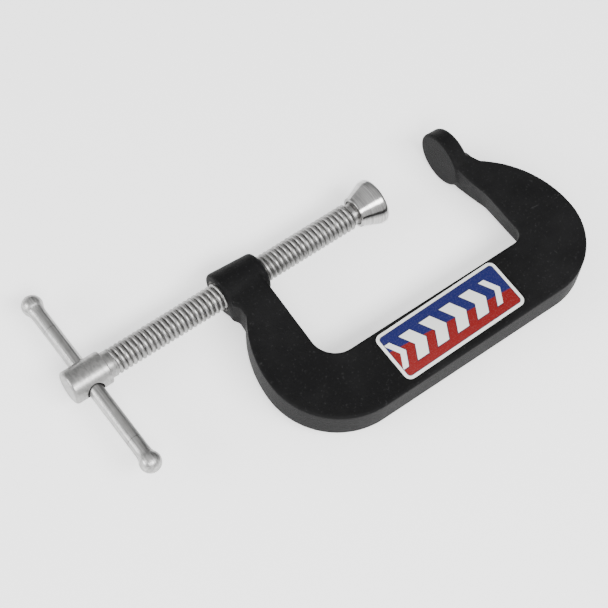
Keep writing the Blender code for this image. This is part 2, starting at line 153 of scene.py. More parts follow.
class Bench:
    """Modelling steps that the pieces share, each done with Blender's own operators."""

    @staticmethod
    def select(obj: bpy.types.Object) -> None:
        """Make an object the only selected one.

        Args:
            obj: The object.
        """
        bpy.ops.object.select_all(action="DESELECT")
        obj.select_set(True)
        bpy.context.view_layer.objects.active = obj

    @staticmethod
    def trace(name: str, points: Iterable[Sequence[float]]) -> bpy.types.Object:
        """Draw a chain of edges, extruded point by point from one vertex.

        Args:
            name: Name of the new object.
            points: The chain's points, with two or three coordinates.

        Returns:
            The object, left in edit mode with its last point selected.
        """
        chain = [Vector((*point, 0.0)[:3]) for point in points]
        bpy.ops.object.select_all(action="DESELECT")
        bpy.ops.mesh.primitive_plane_add(size=MM)
        obj = bpy.context.object
        obj.name = name
        obj.data.name = name
        bpy.ops.object.mode_set(mode="EDIT")
        bpy.ops.mesh.select_all(action="SELECT")
        bpy.ops.mesh.merge(type="CENTER")
        bpy.ops.transform.translate(value=chain[0])
        for before, after in zip(chain, chain[1:]):
            bpy.ops.mesh.extrude_region_move(TRANSFORM_OT_translate={"value": after - before})
        return obj

    @classmethod
    def turn(cls, name: str, profile: Sequence[Point2], steps: int) -> bpy.types.Object:
        """Turn a profile about the X axis, as on a lathe.

        Args:
            name: Name of the new object.
            profile: Points (x, radius), from axis to axis or back to the first point.
            steps: Number of facets round the axis.

        Returns:
            The closed body.
        """
        obj = cls.trace(name, profile)
        bpy.ops.mesh.select_all(action="SELECT")
        bpy.ops.mesh.spin(
            steps=steps, dupli=False, angle=math.tau, center=(0.0, 0.0, 0.0), axis=(1.0, 0.0, 0.0)
        )
        bpy.ops.mesh.select_all(action="SELECT")
        bpy.ops.mesh.remove_doubles(threshold=0.002 * MM)
        bpy.ops.mesh.normals_make_consistent(inside=False)
        bpy.ops.object.mode_set(mode="OBJECT")
        return obj

    @classmethod
    def prism(cls, name: str, outline: Sequence[Point2], low: float, high: float) -> bpy.types.Object:
        """Extrude a closed outline in the XY plane.

        Args:
            name: Name of the new object.
            outline: The outline's points.
            low: Height at which the body begins.
            high: Height at which it ends.

        Returns:
            The closed body.
        """
        obj = cls.trace(name, [(x, y, low) for x, y in outline])
        bpy.ops.mesh.select_all(action="SELECT")
        bpy.ops.mesh.edge_face_add()
        bpy.ops.mesh.extrude_region_move(TRANSFORM_OT_translate={"value": (0.0, 0.0, high - low)})
        bpy.ops.mesh.select_all(action="SELECT")
        bpy.ops.mesh.normals_make_consistent(inside=False)
        bpy.ops.object.mode_set(mode="OBJECT")
        return obj

    @classmethod
    def modify(cls, obj: bpy.types.Object, kind: str, **settings: Any) -> None:
        """Add a modifier, set it and apply it.

        Args:
            obj: The object to change.
            kind: The modifier's type.
            **settings: Its settings by name.
        """
        cls.select(obj)
        modifier = obj.modifiers.new(kind.lower(), kind)
        for name, value in settings.items():
            setattr(modifier, name, value)
        bpy.ops.object.modifier_apply(modifier=modifier.name)

    @classmethod
    def soften(cls, obj: bpy.types.Object, width: float, segments: int, angle: float) -> None:
        """Round the edges that are sharper than an angle in degrees."""
        limit = {"limit_method": "ANGLE", "angle_limit": math.radians(angle)}
        cls.modify(obj, "BEVEL", width=width, segments=segments, **limit)

    @classmethod
    def cut(cls, obj: bpy.types.Object, tool: bpy.types.Object, how: Cut) -> None:
        """Join a tool body to an object, remove it from the object or keep what they share."""
        cls.modify(obj, "BOOLEAN", operation=how.value, solver="EXACT", object=tool)
        bpy.data.objects.remove(tool, do_unlink=True)

    @classmethod
    def gather(cls, obj: bpy.types.Object, other: bpy.types.Object) -> None:
        """Take a second closed shell into an object.

        Args:
            obj: The object that stays.
            other: The shell, whose ends are sunk in the object.
        """
        cls.select(other)
        obj.select_set(True)
        bpy.context.view_layer.objects.active = obj
        bpy.ops.object.join()

    @classmethod
    def move(cls, obj: bpy.types.Object, matrix: Matrix) -> None:
        """Carry an object's mesh to its place and leave its origin at the world's.

        Args:
            obj: The object.
            matrix: The move from where it is.
        """
        cls.select(obj)
        obj.matrix_world = matrix @ obj.matrix_world
        bpy.ops.object.transform_apply(location=True, rotation=True, scale=True)

    @classmethod
    def pick(cls, obj: bpy.types.Object, test: Callable[[Vector], bool]) -> list[int]:
        """Return the faces whose middle passes a test."""
        return [face.index for face in obj.data.polygons if test(face.center)]

    @classmethod
    def smooth(cls, obj: bpy.types.Object, angle: float) -> None:
        """Shade an object smooth, apart from edges sharper than an angle in degrees."""
        cls.select(obj)
        bpy.ops.object.shade_smooth_by_angle(angle=math.radians(angle))

    @classmethod
    def smooth_turned(cls, obj: bpy.types.Object, angle: float) -> None:
        """Shade a turned object so that its long plain faces stay even up to their rims."""
        cls.smooth(obj, angle)
        cls.modify(obj, "WEIGHTED_NORMAL", keep_sharp=True, weight=80)


@dataclass(frozen=True)
class Thread:
    """A rolled thread with round crests.

    Attributes:
        start: Where the first full turn begins along X.
        end: Where the last one ends.
        crest: Radius of the crests.
        depth: Depth of the grooves.
        pitch: Advance of one turn.
        phase: Shift of the helix along X.
        fullness: Below one, the crests are wide and the grooves narrow.
        seam: Depth of the seam that rolling leaves along the crest.
        steps: Facets in one turn.
        samples: Facets in one pitch.
    """

    start: float
    end: float
    crest: float
    depth: float
    pitch: float
    phase: float
    fullness: float = 0.80
    seam: float = 0.0
    steps: int = 48
    samples: int = 16

    def radius(self, share: float) -> float:
        """Work out the profile's radius.

        Args:
            share: Place along one pitch, from 0 to 1.

        Returns:
            The radius there.
        """
        lift = max(0.0, math.sin(math.pi * share)) ** self.fullness
        dip = self.seam * math.exp(-(((share - 0.5) / SEAM_WIDTH) ** 2))
        return self.crest - self.depth * (1 - lift) - dip

    def build(self, name: str) -> bpy.types.Object:
        """Wind one pitch's profile into a helix and cut it square at both ends.

        Args:
            name: Name of the new object.

        Returns:
            The closed body.
        """
        turns = math.ceil((self.end - self.start) / self.pitch) + 3
        skipped = math.floor((self.start - self.phase) / self.pitch) - 2
        first = self.phase + skipped * self.pitch
        shares = [index / self.samples for index in range(self.samples + 1)]
        profile = [(first + share * self.pitch, self.radius(share)) for share in shares]
        obj = Bench.trace(name, profile)
        bpy.ops.object.mode_set(mode="OBJECT")
        Bench.modify(
            obj,
            "SCREW",
            axis="X",
            angle=math.tau,
            screw_offset=self.pitch,
            iterations=turns,
            steps=self.steps,
            render_steps=self.steps,
        )
        bpy.ops.object.mode_set(mode="EDIT")
        bpy.ops.mesh.select_all(action="SELECT")
        bpy.ops.mesh.remove_doubles(threshold=0.002 * MM)
        for place, facing in ((self.start, True), (self.end, False)):
            bpy.ops.mesh.select_all(action="SELECT")
            bpy.ops.mesh.bisect(
                plane_co=(place, 0.0, 0.0),
                plane_no=(1.0, 0.0, 0.0),
                use_fill=True,
                clear_inner=facing,
                clear_outer=not facing,
            )
        bpy.ops.mesh.select_all(action="SELECT")
        bpy.ops.mesh.normals_make_consistent(inside=False)
        bpy.ops.object.mode_set(mode="OBJECT")
        return obj


# ---------------------------------------------------------------- shading


class Value:
    """A node's output socket whose arithmetic adds Math nodes."""

    def __init__(self, graph: "Graph", socket: bpy.types.NodeSocket) -> None:
        """Hold the socket and the graph that it belongs to."""
        self.graph = graph
        self.socket = socket

    def math(self, operation: str, *others: Any) -> "Value":
        """Return the outcome of a Math node whose first input is this value."""
        made = self.graph.node("ShaderNodeMath", {"operation": operation}, dict(enumerate((self, *others))))
        return Value(self.graph, made.outputs[0])

    def reflected(self, operation: str, other: Any) -> "Value":
        """Return the outcome of a Math node whose second input is this value."""
        made = self.graph.node("ShaderNodeMath", {"operation": operation}, {0: other, 1: self})
        return Value(self.graph, made.outputs[0])

    def __add__(self, other: Any) -> "Value":
        """Return this value plus another."""
        return self.math("ADD", other)

    __radd__ = __add__

    def __sub__(self, other: Any) -> "Value":
        """Return this value less another."""
        return self.math("SUBTRACT", other)

    def __rsub__(self, other: Any) -> "Value":
        """Return another value less this one."""
        return self.reflected("SUBTRACT", other)

    def __mul__(self, other: Any) -> "Value":
        """Return this value times another."""
        return self.math("MULTIPLY", other)

    __rmul__ = __mul__

    def __truediv__(self, other: Any) -> "Value":
        """Return this value over another."""
        return self.math("DIVIDE", other)

    def __pow__(self, other: Any) -> "Value":
        """Return this value to a power."""
        return self.math("POWER", other)

    def __abs__(self) -> "Value":
        """Return this value without its sign."""
        return self.math("ABSOLUTE")

    def most(self, other: Any) -> "Value":
        """Return the greater of two values."""
        return self.math("MAXIMUM", other)

    def least(self, other: Any) -> "Value":
        """Return the lesser of two values."""
        return self.math("MINIMUM", other)

    def ramp(self, low: float, high: float) -> "Value":
        """Take a smooth step.

        Args:
            low: The value below which the step is 0.
            high: The value above which it is 1.

        Returns:
            The step, from 0 to 1.
        """
        settings = {"interpolation_type": "SMOOTHSTEP"}
        made = self.graph.node("ShaderNodeMapRange", settings, {0: self, 1: low, 2: high})
        return Value(self.graph, made.outputs[0])


class Graph:
    """A tree of shader nodes."""

    def __init__(self, tree: bpy.types.NodeTree) -> None:
        """Hold the tree."""
        self.tree = tree

    def node(
        self, kind: str, settings: dict[str, Any] | None = None, inputs: dict[Any, Any] | None = None
    ) -> bpy.types.Node:
        """Add a node.

        Args:
            kind: The node's type.
            settings: Its settings by name, set before its sockets.
            inputs: Values or links of its input sockets, by name or place.

        Returns:
            The node.
        """
        made = self.tree.nodes.new(kind)
        for name, value in (settings or {}).items():
            setattr(made, name, value)
        for place, value in (inputs or {}).items():
            self.feed(made.inputs[place], value)
        return made

    def feed(self, socket: bpy.types.NodeSocket, value: Any) -> None:
        """Give a socket a link or a constant.

        Args:
            socket: The input socket.
            value: A value or an output socket to link, or the constant to set.
        """
        if isinstance(value, Value):
            value = value.socket
        if isinstance(value, bpy.types.NodeSocket):
            self.tree.links.new(value, socket)
        else:
            socket.default_value = value


class Shader(Graph):
    """The node tree of one material."""

    def __init__(self, name: str) -> None:
        """Start a material with a Principled shader.

        Args:
            name: The material's name.
        """
        self.material = bpy.data.materials.new(name)
        self.material.use_nodes = True
        super().__init__(self.material.node_tree)
        self.surface = self.tree.nodes["Principled BSDF"]

    def dress(self, **sockets: Any) -> bpy.types.Material:
        """Set the Principled shader's sockets.

        Args:
            **sockets: Values or links by the socket's name, with _ for a space.

        Returns:
            The material.
        """
        for name, value in sockets.items():
            self.feed(self.surface.inputs[name.replace("_", " ")], value)
        return self.material

    def place(
        self,
        shift: Sequence[float] = (0, 0, 0),
        turn: Sequence[float] = (0, 0, 0),
        scale: Sequence[float] = (1, 1, 1),
    ) -> bpy.types.NodeSocket:
        """Carry the object coordinates to a local frame and stretch them.

        Args:
            shift: Origin of the local frame.
            turn: Its turn about X, Y and Z.
            scale: Stretch along its X, Y and Z.

        Returns:
            The vector of the local coordinates.
        """
        coordinates = self.node("ShaderNodeTexCoord").outputs["Object"]
        inputs = {"Vector": coordinates, "Location": shift, "Rotation": turn}
        moved = self.node("ShaderNodeMapping", {"vector_type": "TEXTURE"}, inputs)
        return self.node("ShaderNodeMapping", {}, {"Vector": moved.outputs[0], "Scale": scale}).outputs[0]

    def split(self, vector: bpy.types.NodeSocket) -> tuple[Value, Value, Value]:
        """Return a vector's three parts."""
        made = self.node("ShaderNodeSeparateXYZ", {}, {0: vector})
        return tuple(Value(self, made.outputs[index]) for index in range(3))

    def noise(
        self, vector: bpy.types.NodeSocket, scale: float, detail: float = 3.0, roughness: float = 0.5
    ) -> Value:
        """Return a noise from 0 to 1 whose grain is 1 / scale metres across."""
        inputs = {"Vector": vector, "Scale": scale, "Detail": detail, "Roughness": roughness}
        return Value(self, self.node("ShaderNodeTexNoise", {}, inputs).outputs["Fac"])

    def mix(self, share: Value, first: Any, second: Any) -> bpy.types.NodeSocket:
        """Mix two colours.

        Args:
            share: How much there is of the second colour, from 0 to 1.
            first: A colour or a link to one.
            second: The other one.

        Returns:
            The colour between them.
        """
        inputs = {0: share}
        for place, colour in ((6, first), (7, second)):
            inputs[place] = (*colour, 1.0) if isinstance(colour, tuple) else colour
        return self.node("ShaderNodeMix", {"data_type": "RGBA", "clamp_factor": True}, inputs).outputs[2]

    def bump(
        self, height: Value, depth: float, strength: float, under: bpy.types.NodeSocket | None = None
    ) -> bpy.types.NodeSocket:
        """Disturb the normal with a height map.

        Args:
            height: The height map, from 0 to 1.
            depth: Height of 1 in metres.
            strength: How much of the relief shows, from 0 to 1.
            under: A normal that the relief lies on, if there is one.

        Returns:
            The normal.
        """
        inputs = {"Strength": strength, "Distance": depth, "Height": height}
        if under is not None:
            inputs["Normal"] = under
        return self.node("ShaderNodeBump", {}, inputs).outputs[0]


@dataclass(frozen=True)
class PowderCoat:
    """Black powder coat with a fine sandy texture, pale specks and one light scratch.

    Attributes:
        name: The material's name.
        dark: Colour of the clean coat.
        light: Colour of the specks and the scratch.
        grain: Fineness of the sandy texture, in grains for each metre.
        scratch_place: Middle of the scratch.
        scratch_turn: Its direction.
        scratch_half_length: Half its length.
    """

    name: str = "black_powder_coat"
    dark: Colour = (0.0058, 0.0058, 0.0060)
    light: Colour = (0.060, 0.060, 0.061)
    grain: float = 1250.0
    scratch_place: Point2 = (0.0160, -0.0440)
    scratch_turn: float = math.radians(-9.0)
    scratch_half_length: float = 0.0024

    def material(self) -> bpy.types.Material:
        """Build the coat.

        Returns:
            The material.
        """
        shader = Shader(self.name)
        place = shader.place()
        grain = shader.noise(place, self.grain, 3.0, 0.6)
        fine = shader.noise(place, 3.0 * self.grain, 2.0)
        patches = shader.noise(place, 45.0, 4.0, 0.6)
        speck = shader.noise(place, 1000.0, 2.0, 0.7).ramp(0.60, 0.76)
        scratch = self.scratch(shader)
        tone = (speck * 0.30 + patches.ramp(0.35, 0.75) * 0.06 + scratch * 0.6).least(1.0)
        rough = shader.bump(grain, 0.00030, 0.8)
        return shader.dress(
            Base_Color=shader.mix(tone, self.dark, self.light),
            Roughness=(0.46 + patches * 0.12 + speck * 0.10).least(0.9),
            Normal=shader.bump(fine, 0.00006, 0.6, rough),
            Specular_IOR_Level=0.04,
        )

    def scratch(self, shader: Shader) -> Value:
        """Draw the scratch on the arm's upper face.

        Args:
            shader: The coat's shader.

        Returns:
            A mask of the scratch.
        """
        along, across, height = shader.split(
            shader.place((*self.scratch_place, 0.0), (0.0, 0.0, self.scratch_turn))
        )
        line = 1.0 - abs(across).ramp(0.00003, 0.00012)
        ends = 1.0 - abs(along).ramp(0.6 * self.scratch_half_length, self.scratch_half_length)
        return line * ends * height.ramp(0.0, 0.001)


@dataclass(frozen=True)
class TappedIron:
    """Bare cut iron of the tapped bore, stained dark with cutting oil.

    Attributes:
        name: The material's name.
        clean: Colour of the clean iron.
        dirty: Colour of the stains.
    """

    name: str = "tapped_iron"
    clean: Colour = (0.16, 0.155, 0.15)
    dirty: Colour = (0.045, 0.042, 0.040)

    def material(self) -> bpy.types.Material:
        """Build the iron.

        Returns:
            The material.
        """
        shader = Shader(self.name)
        place = shader.place()
        stain = shader.noise(place, 500.0, 4.0, 0.6)
        return shader.dress(
            Base_Color=shader.mix(stain.ramp(0.3, 0.7), self.dirty, self.clean),
            Metallic=0.9,
            Roughness=0.35 + stain * 0.25,
            Normal=shader.bump(shader.noise(place, 2600.0, 3.0), 0.00004, 0.6),
        )


@dataclass(frozen=True)
class PlatedSteel:
    """Zinc-plated steel, brushed or drawn along one direction.

    Attributes:
        name: The material's name.
        bright: Colour of the clean plating.
        dull: Colour where the plating is grey.
        roughness: Lowest and highest roughness.
        grain: Fineness of the streaks along X, Y and Z of the local frame.
        depth: Depth of the streaks.
        turn: Turn of the local frame about X, Y and Z.
        groove: Radii between which the painted shade thins out, for a thread.
        painted_groove_shade: How dark the painted shade in the grooves is, from 0 to 1.
        rings: Places along the local X axis of thin dark rings, painted shade of two shallow grooves.
    """

    name: str
    bright: Colour
    dull: Colour
    roughness: tuple[float, float]
    grain: tuple[float, float, float]
    depth: float
    turn: tuple[float, float, float] = (0.0, 0.0, 0.0)
    groove: tuple[float, float] | None = None
    painted_groove_shade: float = 0.0
    rings: tuple[float, ...] = ()

    def material(self) -> bpy.types.Material:
        """Build the plating.

        Returns:
            The material.
        """
        shader = Shader(self.name)
        place = shader.place()
        streaks = shader.noise(shader.place(turn=self.turn, scale=self.grain), 1.0, 4.0, 0.6)
        patches = shader.noise(place, 350.0, 4.0, 0.6)
        fine = shader.noise(place, 3200.0, 2.0)
        tone = (streaks.ramp(0.34, 0.64) * 0.75 + patches.ramp(0.30, 0.75) * 0.35).least(1.0)
        colour = shader.mix(tone, self.bright, self.dull)
        low, high = self.roughness
        rough = low + (high - low) * (0.6 * patches + 0.4 * streaks)
        # Painted shade: the colour darkens towards the roots of a thread's grooves.
        if self.groove:
            _, side, height = shader.split(place)
            radius = (side * side + height * height) ** 0.5
            painted_groove_shade = (1.0 - radius.ramp(*self.groove)) * (0.55 + 0.45 * patches) * self.painted_groove_shade
            colour = shader.mix(painted_groove_shade, colour, (0.035, 0.033, 0.031))
            rough = (rough + painted_groove_shade * 0.3).least(0.8)
        along = shader.split(shader.place(turn=self.turn))[0]
        # Painted shade of two shallow grooves, drawn as thin dark rings.
        for ring in self.rings:
            line = 1.0 - abs(along - ring + (patches - 0.5) * 0.0004).ramp(0.00008, 0.00024)
            colour = shader.mix(line * 0.55, colour, (0.045, 0.044, 0.043))
        normal = shader.bump(streaks, self.depth, 0.8)
        return shader.dress(
            Base_Color=colour, Metallic=1.0, Roughness=rough, Normal=shader.bump(fine, 0.00001, 0.5, normal)
        )


@dataclass(frozen=True)
class LabelPrint:
    """Printed film: white border, dark keyline, a blue field over a red one and a row of chevrons.

    Attributes:
        centre: Middle of the film's underside.
        turn: Turn of the film about Z.
        length: Length of the film.
        width: Its width.
        corner: Radius of its corners.
        border: Width of the white border.
        keyline: Width of the dark line inside it.
        chevron: Width of one chevron's bar and height of the row.
        chevron_pitch: Distance from one chevron to the next.
        chevron_slant: How far a chevron's arms lean for each metre across the film.
        chevron_count: How many chevrons there are.
        white: Colour of the border and the chevrons.
        ink: Colour of the keyline and of the chevrons' rims.
        blue: Colour of the upper field.
        red: Colour of the lower field.
        name: The material's name.
    """

    centre: tuple[float, float, float]
    turn: float
    length: float
    width: float
    corner: float
    border: float = 0.00135
    keyline: float = 0.00030
    chevron: tuple[float, float] = (0.0056, 0.0128)
    chevron_pitch: float = 0.0105
    chevron_slant: float = 0.55
    chevron_count: int = 5
    white: Colour = (0.70, 0.71, 0.69)
    ink: Colour = (0.006, 0.006, 0.030)
    blue: Colour = (0.004, 0.006, 0.075)
    red: Colour = (0.150, 0.0015, 0.0015)
    name: str = "printed_film"

    def edge(self, x: Value, y: Value, inset: float) -> Value:
        """Measure from a rounded rectangle that lies inset from the film's edge.

        Args:
            x: Place along the film.
            y: Place across it.
            inset: How far inside the film's edge the rectangle lies.

        Returns:
            The distance outside the rectangle, less than 0 inside it.
        """
        radius = max(self.corner - inset, 0.0002)
        out_x = (abs(x) - (self.length / 2 - inset - radius)).most(0.0)
        out_y = (abs(y) - (self.width / 2 - inset - radius)).most(0.0)
        return (out_x * out_x + out_y * out_y) ** 0.5 - radius

    def chevrons(self, x: Value, y: Value, grow: float) -> Value:
        """Draw the row of chevrons.

        Args:
            x: Place along the film.
            y: Place across it.
            grow: Margin by which every chevron is grown.

        Returns:
            A mask of the chevrons.
        """
        soft = 0.0001
        wide, tall = self.chevron[0] / 2 + grow, self.chevron[1] / 2 + grow
        row = self.chevron_count * self.chevron_pitch / 2
        slanted = x + abs(y) * self.chevron_slant
        phase = (slanted / self.chevron_pitch + 20.0).math("FRACT") - 0.5
        bars = 1.0 - (abs(phase) * self.chevron_pitch).ramp(wide, wide + soft)
        rows = 1.0 - abs(y).ramp(tall, tall + soft)
        ends = 1.0 - abs(slanted).ramp(row - soft, row)
        return bars * rows * ends

    def material(self) -> bpy.types.Material:
        """Build the print.

        Returns:
            The material.
        """
        shader = Shader(self.name)
        x, y, _ = shader.split(shader.place(self.centre, (0.0, 0.0, self.turn)))
        crisp = 0.00006
        field = 1.0 - self.edge(x, y, self.border + self.keyline).ramp(-crisp, crisp)
        line = 1.0 - self.edge(x, y, self.border).ramp(-crisp, crisp)
        split = (y + 0.10 * x).ramp(-crisp, crisp)
        colour = shader.mix(line, self.white, self.ink)
        colour = shader.mix(field, colour, shader.mix(split, self.red, self.blue))
        colour = shader.mix(field * self.chevrons(x, y, 0.00035), colour, self.ink)
        colour = shader.mix(field * self.chevrons(x, y, 0.0), colour, self.white)
        place = shader.place()
        dots = shader.noise(place, 1800.0, 3.0, 0.7)
        wear = shader.noise(place, 260.0, 4.0, 0.6)
        colour = shader.mix(dots.ramp(0.45, 0.75) * 0.10, colour, (0.35, 0.35, 0.36))
        return shader.dress(
            Base_Color=colour,
            Roughness=0.30 + wear * 0.20,
            Normal=shader.bump(wear, 0.00006, 0.5),
            Specular_IOR_Level=0.25,
        )


# ---------------------------------------------------------------- pieces


@dataclass
class Piece:
    """What every sub-assembly needs to take its CAD node's place.

    Attributes:
        node: The CAD node that the piece stands for.
        slot: The record's material slot, not used.
        body: The body that it rides on.
    """

    node: str
    slot: str
    body: Body

    def hand_over(self, obj: bpy.types.Object, name: str) -> bpy.types.Object:
        """Name a finished object, let it stand for the CAD node and report it.

        Args:
            obj: The finished piece.
            name: Its final name.

        Returns:
            The piece.
        """
        obj.name = name
        obj.data.name = name
        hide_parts(self.node)
        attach(obj, self.body.value)
        LOG.info("%s: %d faces, stands for %s", name, len(obj.data.polygons), self.node)
        return obj

    @staticmethod
    def dress(obj: bpy.types.Object, *materials: bpy.types.Material) -> None:
        """Put materials on an object's slots.

        Args:
            obj: The object.
            *materials: The materials in the slots' order.
        """
        obj.data.materials.clear()
        for material in materials:
            obj.data.materials.append(material)

    @staticmethod
    def paint(obj: bpy.types.Object, faces: Iterable[int], slot: int) -> None:
        """Give faces one of the object's materials."""
        for index in faces:
            obj.data.polygons[index].material_index = slot


@dataclass
class Casting(Piece):
    """The cast frame: C plate, boss, anvil and the soft blends between them.

    Attributes:
        jaw_span: Distance from the anvil's face to the throat's side under the boss.
        throat: Depth of the throat below the screw's axis.
        thickness: Thickness of the plate.
        spine: Width of the spine.
        boss_arm: Width of the arm that carries the boss.
        boss_neck: Width of that arm's neck just under the boss.
        anvil_width: Width of the arm that carries the anvil.
        anvil_neck: How far below the axis the anvil's arm has its neck.
        setback: How far the anvil's arm stands behind the anvil's face.
        lean: How far that arm's inner face leans over the plate's thickness.
        inside_radii: Radii of the throat's corners, at the boss's side and at the anvil's.
        boss_side_radii: Radii of the outside at the boss's side, above and below its widest place.
        anvil_side_radii: The same at the anvil's side.
        rim: Radius of the plate's rims.
        anvil_radius: Radius of the anvil's face.
        anvil_back: Radius of its back.
        anvil_thickness: Thickness of the anvil's disc.
        boss_front: Place of the boss's end towards the anvil.
        boss_back: Place of its other end.
        boss_radii: Radii of its ends, back and front.
        blend: Radius of the hollow between the boss and the plate's faces.
        voxel: Size of the cells in which the casting is softened.
        bore: The boss's thread.
    """

    node: str = "frame"
    slot: str = "black_coat"
    body: Body = Body.FRAME
    jaw_span: float = 0.0988
    throat: float = 0.0525
    thickness: float = 0.0154
    spine: float = 0.0284
    boss_arm: float = 0.0252
    boss_neck: float = 0.0177
    anvil_width: float = 0.0242
    anvil_neck: float = 0.0195
    setback: float = 0.0059
    lean: float = 0.0028
    inside_radii: tuple[float, float] = (0.0110, 0.0050)
    boss_side_radii: tuple[float, float] = (0.0530, 0.0330)
    anvil_side_radii: tuple[float, float] = (0.0478, 0.0300)
    rim: float = 0.0007
    anvil_radius: float = 0.0125
    anvil_back: float = 0.0121
    anvil_thickness: float = 0.0077
    boss_front: float = -0.0948
    boss_back: float = -0.1159
    boss_radii: tuple[float, float] = (0.0101, 0.0088)
    blend: float = 0.0160
    voxel: float = 0.00052
    bore: Thread | None = None

    def anvil_arm(self, lean: float) -> list[Point2]:
        """Draw the line from inside the anvil down its arm.

        Args:
            lean: How far the arm's inner face leans towards the jaw at this height.

        Returns:
            The points, down to the throat.
        """
        inner = self.setback - lean
        inside = self.inside_radii[1]
        depth = self.anvil_thickness
        neck = (0.35 * self.setback + inner) / 2 - lean / 3
        return [
            (0.8 * depth, 0.3 * self.anvil_radius),
            (0.1 * depth, 0.3 * self.anvil_radius),
            (0.2 * depth - lean / 3, -self.anvil_radius),
            (0.8 * neck, -self.anvil_neck),
            (0.9 * inner, -1.4 * self.anvil_neck),
            *arc((inner - inside, inside - self.throat), inside, 0, -90),
        ]

    def outline(self, lean: float) -> list[Point2]:
        """Return the plate's outline, counterclockwise from inside the anvil.

        Args:
            lean: How far the anvil arm's inner face leans towards the jaw at this height.

        Returns:
            The points of the closed outline.
        """
        left = -self.jaw_span
        outer = left - self.boss_arm
        back = -self.throat - self.spine
        inside = self.inside_radii[0]
        points = self.anvil_arm(lean) + arc((left + inside, inside - self.throat), inside, -90, -180)
        inner = left + 0.0010
        neck = inner - self.boss_neck
        points += [(inner, -0.0088), (inner, 0.0029), (self.boss_front + self.boss_back - inner, 0.0029)]
        points += [(neck, -0.0096), (neck + 0.0018, -0.0126)]
        upper, lower = self.boss_side_radii
        middle = back + lower
        start = 180 - math.degrees(math.asin((-0.0170 - middle) / upper))
        points += arc((outer + upper, middle), upper, start, 180, 3.0)
        points += arc((outer + lower, middle), lower, 180, 270, 3.0)[1:]
        upper, lower = self.anvil_side_radii
        outer = self.setback + self.anvil_width
        middle = back + lower
        points += arc((outer - lower, middle), lower, -90, 0, 3.0)
        end = math.degrees(math.acos((self.anvil_thickness + 0.0035 - outer + upper) / upper))
        points += arc((outer - upper, middle), upper, 0, end, 3.0)[1:]
        return points + [(self.anvil_thickness + 0.0011, -0.0075)]

    def plate(self) -> bpy.types.Object:
        """Build the C plate, with its rims rounded and the anvil's arm leaning.

        Returns:
            The closed body.
        """
        half = self.thickness / 2
        lower, upper = self.outline(0.0), self.outline(self.lean)
        obj = Bench.prism("plate", lower, -half, half)
        for vertex in obj.data.vertices:
            if vertex.co.z > 0:
                place = vertex.co.xy
                nearest = min(range(len(lower)), key=lambda index: (place - Vector(lower[index])).length)
                vertex.co.xy = upper[nearest]
        Bench.soften(obj, self.rim, 3, 60.0)
        return obj

    def blends(self, name: str, start: float, end: float, radius: float, reach: float) -> bpy.types.Object:
        """Build the concave blends between a round body and both faces of the plate.

        Args:
            name: Name of the new object.
            start: Where the blends begin along X.
            end: Where they end.
            radius: Radius of the round body.
            reach: Radius of the concave surface.

        Returns:
            The closed body.
        """
        half = self.thickness / 2
        centre = (-math.sqrt((radius + reach) ** 2 - (half + reach) ** 2), half + reach)
        touch = math.degrees(math.atan2(-centre[1], -centre[0]))
        upper = arc(centre, reach, -90, touch) + [(0.0, half)]
        section = upper + [(y, -z) for y, z in reversed(upper)]
        obj = Bench.prism(name, section, 0.0, end - start)
        Bench.move(obj, Matrix(((0, 0, 1, start), (1, 0, 0, 0), (0, 1, 0, 0), (0, 0, 0, 1))))
        return obj

    def boss(self) -> bpy.types.Object:
        """Build the boss's round body with soft ends.

        Returns:
            The closed body.
        """
        back, front = self.boss_back, self.boss_front
        outer, inner = self.boss_radii
        corners = [(back, 0.0, 0.0), (back, outer, 0.0013), (front, inner, 0.0016), (front, 0.0, 0.0)]
        return Bench.turn("boss", rounded(corners), 96)

    def anvil(self) -> bpy.types.Object:
        """Build the anvil's disc with soft rims.

        Returns:
            The closed body.
        """
        depth = self.anvil_thickness
        corners = [
            (0.0, 0.0, 0.0),
            (0.0, self.anvil_radius, 0.0009),
            (depth, self.anvil_back, 0.0016),
            (depth, 0.0, 0.0),
        ]
        return Bench.turn("anvil", rounded(corners), 96)

    def web(self) -> bpy.types.Object:
        """Build the low mound that carries the anvil's back into its arm.

        Returns:
            The closed body.
        """
        start, depth = 0.002, self.anvil_thickness
        end = depth + 0.0026
        corners = [(start, 0.0), (start, 0.0080), (depth, 0.0080), (end, 0.0056), (end, 0.0)]
        obj = Bench.turn("web", corners, 48)
        Bench.move(obj, Matrix.Translation((0.0, -0.0090, 0.0)))
        return obj

    def mouth(self, face: float, inward: float) -> bpy.types.Object:
        """Build the cutter of the countersink at one end of the bore.

        Args:
            face: Place of the boss's face along X.
            inward: 1 where the bore runs along +X from that face, -1 where it runs back.

        Returns:
            The closed body.
        """
        crest = self.bore.crest
        wide = crest + 0.0008
        outside, deep = face - inward * 0.001, face + inward * 0.0021
        corners = [(outside, 0.0), (outside, wide + 0.001), (face, wide), (deep, crest - 0.0013), (deep, 0.0)]
        return Bench.turn("mouth", corners, 96)

    def build(self) -> bpy.types.Object:
        """Cast the body, soften it, then tap the bore.

        Returns:
            The casting.
        """
        obj = self.plate()
        back, front = self.boss_back, self.boss_front
        Bench.cut(obj, self.boss(), Cut.JOIN)
        Bench.cut(obj, self.blends("boss_blend", back + 0.0006, front - 0.0040, 0.0092, self.blend), Cut.JOIN)
        Bench.cut(obj, self.anvil(), Cut.JOIN)
        Bench.cut(obj, self.web(), Cut.JOIN)
        Bench.modify(obj, "REMESH", mode="VOXEL", voxel_size=self.voxel, adaptivity=0.0)
        Bench.modify(obj, "SMOOTH", factor=0.5, iterations=5)
        Bench.cut(obj, self.bore.build("tap"), Cut.REMOVE)
        Bench.cut(obj, self.mouth(back, 1.0), Cut.REMOVE)
        Bench.cut(obj, self.mouth(front, -1.0), Cut.REMOVE)
        return obj

